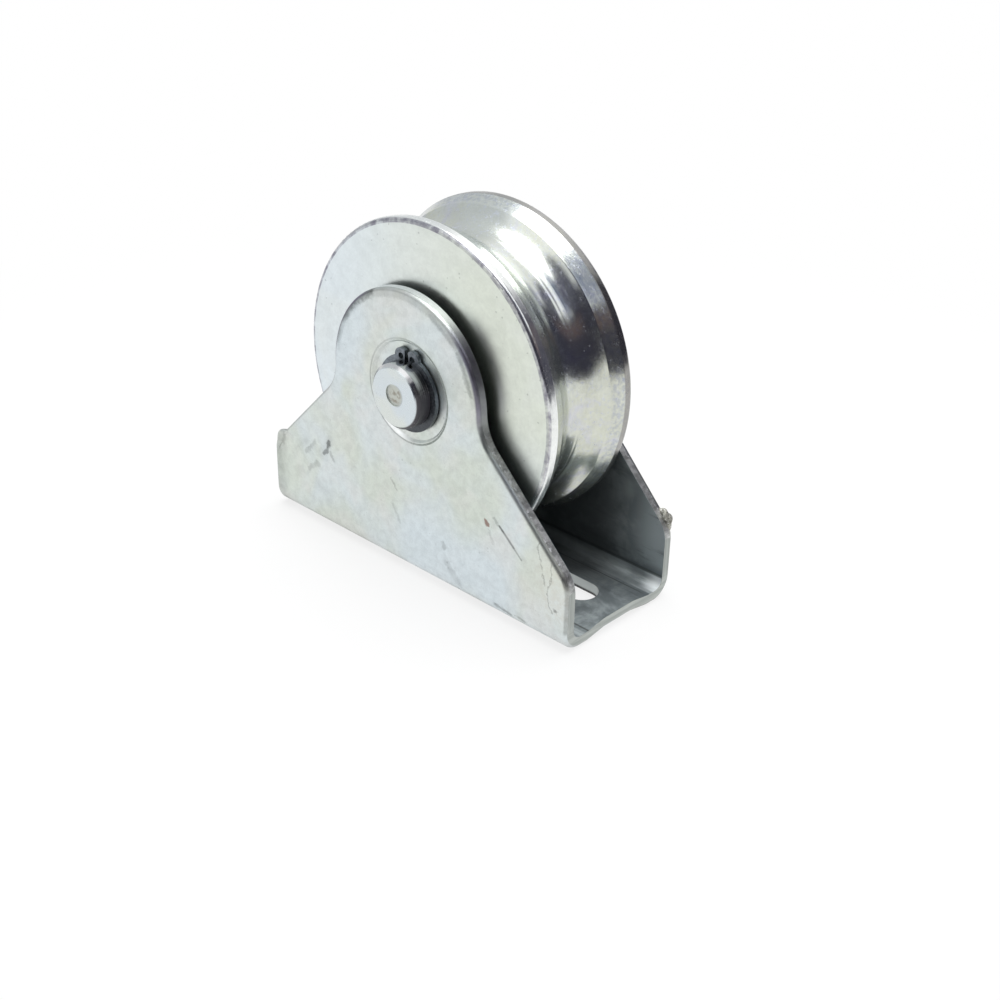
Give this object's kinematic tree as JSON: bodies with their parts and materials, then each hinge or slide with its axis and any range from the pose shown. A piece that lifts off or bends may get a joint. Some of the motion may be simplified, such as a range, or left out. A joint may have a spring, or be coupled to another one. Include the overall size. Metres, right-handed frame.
{
  "type": "gate wheel",
  "caption": "Steel wheel with a round groove, turning on a ball bearing between the ears of a folded steel channel bracket that bolts under a sliding gate.",
  "frame": {"origin": "centre of the bracket's footprint, on the plane of its mounting face", "axes": "+X along the channel bracket, +Y along the axle, +Z from the mounting face towards the wheel"},
  "size_m": [0.102, 0.0476, 0.0895],
  "materials": {
    "zinc_sheet": "bright zinc plating on punched and folded sheet, faintly mottled",
    "zinc_turned": "bright zinc plating on turned steel, polished in the groove",
    "zinc_pin": "bright zinc plating on a turned pin",
    "black_spring_steel": "blackened spring steel, slightly oily",
    "plain_steel": "turned steel tube",
    "bearing_steel": "ground bearing steel",
    "ball_steel": "polished bearing steel",
    "pressed_steel": "pressed thin sheet steel"
  },
  "bodies": {
    "frame": {"bracket": "zinc_sheet", "axle_pin": "zinc_pin", "front_circlip": "black_spring_steel", "rear_circlip": "black_spring_steel", "bearing_inner_ring": "bearing_steel", "front_spacer": "plain_steel", "rear_spacer": "plain_steel"},
    "wheel": {"wheel_body": "zinc_turned", "bearing_outer_ring": "bearing_steel", "front_shield": "pressed_steel", "rear_shield": "pressed_steel", "bearing_retaining_ring": "black_spring_steel"},
    "ball_cage": {"ball_1": "ball_steel", "ball_2": "ball_steel", "ball_3": "ball_steel", "ball_4": "ball_steel", "ball_5": "ball_steel", "ball_6": "ball_steel", "ball_7": "ball_steel", "ball_8": "ball_steel", "front_cage_half": "pressed_steel", "rear_cage_half": "pressed_steel", "cage_rivets": "pressed_steel"}
  },
  "joints": [
    {"name": "wheel_spin", "type": "hinge", "parent": "frame", "child": "wheel", "pos_m": [0, 0, 0.0495], "axis": [0, 1, 0], "continuous": true},
    {"name": "ball_cage_spin", "type": "hinge", "parent": "frame", "child": "ball_cage", "pos_m": [0, 0, 0.0495], "axis": [0, 1, 0], "continuous": true}
  ],
  "couplings": [
    {"joint": "ball_cage_spin", "follows": "wheel_spin", "ratio": 0.61906}
  ]
}
